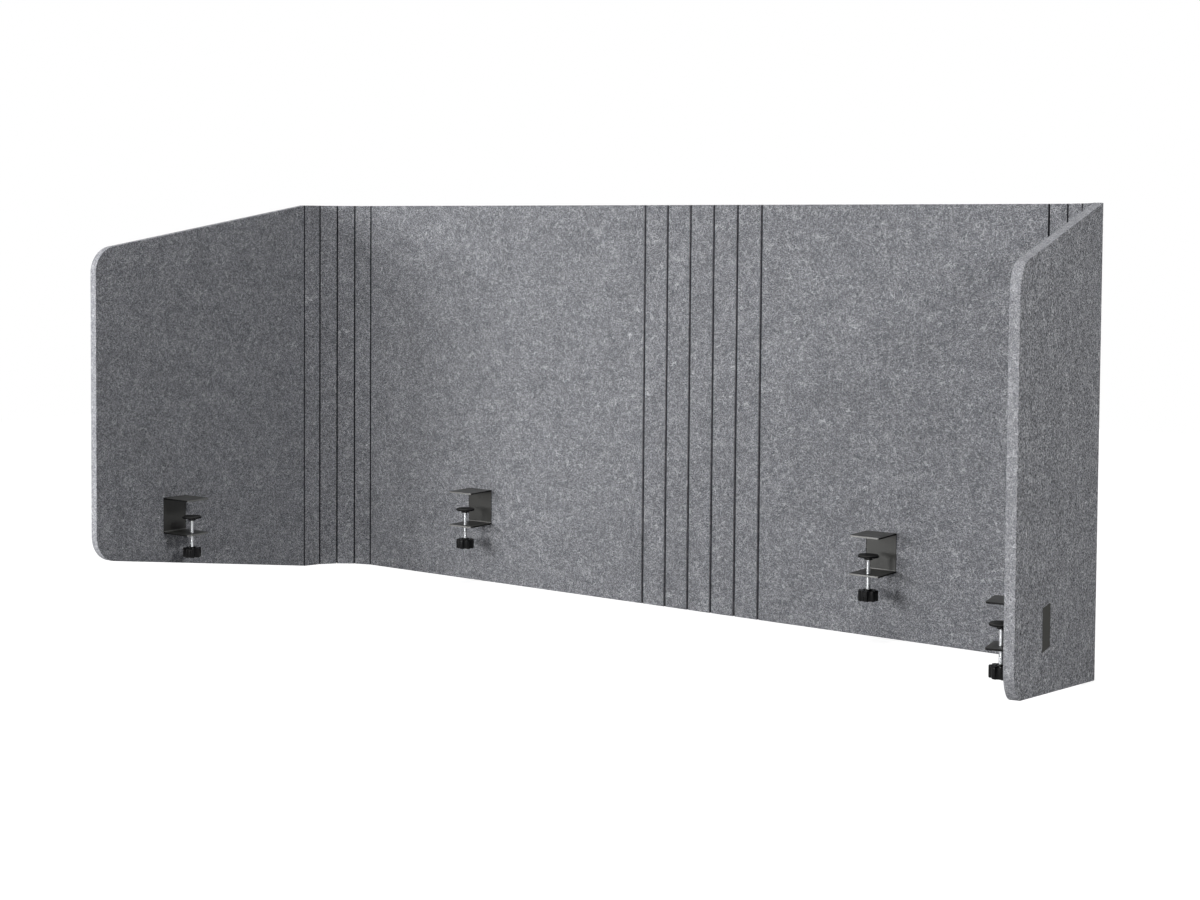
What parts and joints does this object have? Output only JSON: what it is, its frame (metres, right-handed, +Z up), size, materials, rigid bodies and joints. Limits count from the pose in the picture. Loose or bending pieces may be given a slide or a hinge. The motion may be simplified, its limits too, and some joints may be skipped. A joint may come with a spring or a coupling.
{
  "type": "desk divider screen",
  "caption": "U-shaped folding desk screen of grooved pressed felt with tapered wings, held on a desk top by screw clamps with star knobs.",
  "frame": {"origin": "halfway along the main panel's inner face, at the height of the desk top, which is the underside of the clamps' top plates", "axes": "+X along the main panel, +Y out through its back, +Z up"},
  "size_m": [1.4412, 0.5327, 0.6],
  "materials": {
    "felt": "heather pressed felt",
    "graphite_metal": "satin",
    "black_screws": "satin",
    "zinc": "bright zinc",
    "black_plastic": "moulded",
    "black_rubber": "matt"
  },
  "bodies": {
    "left_wing": {"left_wing": "felt", "left_wing_clamp_bracket": "graphite_metal", "left_wing_clamp_back_plate": "graphite_metal", "left_wing_clamp_fixing_screws": "black_screws", "left_wing_clamp_bush": "black_screws"},
    "main_left": {"main_left": "felt", "main_left_clamp_bracket": "graphite_metal", "main_left_clamp_back_plate": "graphite_metal", "main_left_clamp_fixing_screws": "black_screws", "main_left_clamp_bush": "black_screws"},
    "main_right": {"main_right": "felt", "main_right_clamp_bracket": "graphite_metal", "main_right_clamp_back_plate": "graphite_metal", "main_right_clamp_fixing_screws": "black_screws", "main_right_clamp_bush": "black_screws"},
    "right_wing": {"right_wing": "felt", "right_wing_clamp_bracket": "graphite_metal", "right_wing_clamp_back_plate": "graphite_metal", "right_wing_clamp_fixing_screws": "black_screws", "right_wing_clamp_bush": "black_screws"},
    "left_strip_1": {"left_strip_1": "felt"},
    "right_strip_1": {"right_strip_1": "felt"},
    "left_strip_2": {"left_strip_2": "felt"},
    "right_strip_2": {"right_strip_2": "felt"},
    "left_strip_3": {"left_strip_3": "felt"},
    "right_strip_3": {"right_strip_3": "felt"},
    "left_strip_4": {"left_strip_4": "felt"},
    "right_strip_4": {"right_strip_4": "felt"},
    "centre_strip_1": {"centre_strip_1": "felt"},
    "centre_strip_2": {"centre_strip_2": "felt"},
    "centre_strip_3": {"centre_strip_3": "felt"},
    "centre_strip_4": {"centre_strip_4": "felt"},
    "centre_strip_5": {"centre_strip_5": "felt"},
    "left_wing_clamp_foot": {"left_wing_clamp_foot": "black_plastic", "left_wing_clamp_foot_pad": "black_rubber"},
    "left_wing_clamp_screw": {"left_wing_clamp_spindle": "zinc", "left_wing_clamp_knob": "black_plastic"},
    "main_left_clamp_foot": {"main_left_clamp_foot": "black_plastic", "main_left_clamp_foot_pad": "black_rubber"},
    "main_left_clamp_screw": {"main_left_clamp_spindle": "zinc", "main_left_clamp_knob": "black_plastic"},
    "main_right_clamp_foot": {"main_right_clamp_foot": "black_plastic", "main_right_clamp_foot_pad": "black_rubber"},
    "main_right_clamp_screw": {"main_right_clamp_spindle": "zinc", "main_right_clamp_knob": "black_plastic"},
    "right_wing_clamp_foot": {"right_wing_clamp_foot": "black_plastic", "right_wing_clamp_foot_pad": "black_rubber"},
    "right_wing_clamp_screw": {"right_wing_clamp_spindle": "zinc", "right_wing_clamp_knob": "black_plastic"}
  },
  "joints": [
    {"name": "left_fold_1", "type": "hinge", "parent": "main_left", "child": "left_strip_1", "pos_m": [-0.59, 0.012, 0], "axis": [0, 0, 1], "range_deg": [-18, 5]},
    {"name": "left_fold_2", "type": "hinge", "parent": "left_strip_1", "child": "left_strip_2", "pos_m": [-0.62138, 0.0018, 0], "axis": [0, 0, 1], "range_deg": [-18, 5]},
    {"name": "left_fold_3", "type": "hinge", "parent": "left_strip_2", "child": "left_strip_3", "pos_m": [-0.64808, -0.01759, 0], "axis": [0, 0, 1], "range_deg": [-18, 5]},
    {"name": "left_fold_4", "type": "hinge", "parent": "left_strip_3", "child": "left_strip_4", "pos_m": [-0.66748, -0.04429, 0], "axis": [0, 0, 1], "range_deg": [-18, 5]},
    {"name": "left_fold_5", "type": "hinge", "parent": "left_strip_4", "child": "left_wing", "pos_m": [-0.67768, -0.07568, 0], "axis": [0, 0, 1], "range_deg": [-18, 5]},
    {"name": "right_fold_1", "type": "hinge", "parent": "main_right", "child": "right_strip_1", "pos_m": [0.59, 0.012, 0], "axis": [0, 0, -1], "range_deg": [-16, 7]},
    {"name": "right_fold_2", "type": "hinge", "parent": "right_strip_1", "child": "right_strip_2", "pos_m": [0.62172, 0.0029, 0], "axis": [0, 0, -1], "range_deg": [-16, 7]},
    {"name": "right_fold_3", "type": "hinge", "parent": "right_strip_2", "child": "right_strip_3", "pos_m": [0.64971, -0.01458, 0], "axis": [0, 0, -1], "range_deg": [-16, 7]},
    {"name": "right_fold_4", "type": "hinge", "parent": "right_strip_3", "child": "right_strip_4", "pos_m": [0.67179, -0.03911, 0], "axis": [0, 0, -1], "range_deg": [-16, 7]},
    {"name": "right_fold_5", "type": "hinge", "parent": "right_strip_4", "child": "right_wing", "pos_m": [0.68625, -0.06877, 0], "axis": [0, 0, -1], "range_deg": [-16, 7]},
    {"name": "centre_fold_1", "type": "hinge", "parent": "main_left", "child": "centre_strip_1", "pos_m": [-0.042, 0.012, 0], "axis": [0, 0, -1], "range_deg": [0, 15]},
    {"name": "centre_fold_2", "type": "hinge", "parent": "centre_strip_1", "child": "centre_strip_2", "pos_m": [-0.002, 0.012, 0], "axis": [0, 0, -1], "range_deg": [0, 15]},
    {"name": "centre_fold_3", "type": "hinge", "parent": "centre_strip_2", "child": "centre_strip_3", "pos_m": [0.038, 0.012, 0], "axis": [0, 0, -1], "range_deg": [0, 15]},
    {"name": "centre_fold_4", "type": "hinge", "parent": "centre_strip_3", "child": "centre_strip_4", "pos_m": [0.078, 0.012, 0], "axis": [0, 0, -1], "range_deg": [0, 15]},
    {"name": "centre_fold_5", "type": "hinge", "parent": "centre_strip_4", "child": "centre_strip_5", "pos_m": [0.118, 0.012, 0], "axis": [0, 0, -1], "range_deg": [0, 15]},
    {"name": "centre_fold_6", "type": "hinge", "parent": "centre_strip_5", "child": "main_right", "pos_m": [0.158, 0.012, 0], "axis": [0, 0, -1], "range_deg": [0, 15]},
    {"name": "left_wing_clamp_travel", "type": "slide", "parent": "left_wing", "child": "left_wing_clamp_foot", "axis": [0, 0, 1], "range_m": [-0.0175, 0.0155]},
    {"name": "left_wing_clamp_turn", "type": "hinge", "parent": "left_wing_clamp_foot", "child": "left_wing_clamp_screw", "pos_m": [-0.62768, -0.36568, -0.06], "axis": [0, 0, 1], "range_deg": [-6301, 5581]},
    {"name": "main_left_clamp_travel", "type": "slide", "parent": "main_left", "child": "main_left_clamp_foot", "axis": [0, 0, 1], "range_m": [-0.0175, 0.0155]},
    {"name": "main_left_clamp_turn", "type": "hinge", "parent": "main_left_clamp_foot", "child": "main_left_clamp_screw", "pos_m": [-0.354, -0.038, -0.06], "axis": [0, 0, 1], "range_deg": [-6301, 5581]},
    {"name": "main_right_clamp_travel", "type": "slide", "parent": "main_right", "child": "main_right_clamp_foot", "axis": [0, 0, 1], "range_m": [-0.0175, 0.0155]},
    {"name": "main_right_clamp_turn", "type": "hinge", "parent": "main_right_clamp_foot", "child": "main_right_clamp_screw", "pos_m": [0.354, -0.038, -0.06], "axis": [0, 0, 1], "range_deg": [-6301, 5581]},
    {"name": "right_wing_clamp_travel", "type": "slide", "parent": "right_wing", "child": "right_wing_clamp_foot", "axis": [0, 0, 1], "range_m": [-0.0175, 0.0155]},
    {"name": "right_wing_clamp_turn", "type": "hinge", "parent": "right_wing_clamp_foot", "child": "right_wing_clamp_screw", "pos_m": [0.68737, -0.36304, -0.06], "axis": [0, 0, 1], "range_deg": [-6301, 5581]}
  ],
  "couplings": [
    {"joint": "left_fold_2", "follows": "left_fold_1", "ratio": 1},
    {"joint": "left_fold_3", "follows": "left_fold_1", "ratio": 1},
    {"joint": "left_fold_4", "follows": "left_fold_1", "ratio": 1},
    {"joint": "left_fold_5", "follows": "left_fold_1", "ratio": 1},
    {"joint": "right_fold_2", "follows": "right_fold_1", "ratio": 1},
    {"joint": "right_fold_3", "follows": "right_fold_1", "ratio": 1},
    {"joint": "right_fold_4", "follows": "right_fold_1", "ratio": 1},
    {"joint": "right_fold_5", "follows": "right_fold_1", "ratio": 1},
    {"joint": "centre_fold_2", "follows": "centre_fold_1", "ratio": 1},
    {"joint": "centre_fold_3", "follows": "centre_fold_1", "ratio": 1},
    {"joint": "centre_fold_4", "follows": "centre_fold_1", "ratio": 1},
    {"joint": "centre_fold_5", "follows": "centre_fold_1", "ratio": 1},
    {"joint": "centre_fold_6", "follows": "centre_fold_1", "ratio": 1},
    {"joint": "left_wing_clamp_turn", "follows": "left_wing_clamp_travel", "rad_per_m": 6283.2},
    {"joint": "main_left_clamp_turn", "follows": "main_left_clamp_travel", "rad_per_m": 6283.2},
    {"joint": "main_right_clamp_turn", "follows": "main_right_clamp_travel", "rad_per_m": 6283.2},
    {"joint": "right_wing_clamp_turn", "follows": "right_wing_clamp_travel", "rad_per_m": 6283.2}
  ]
}
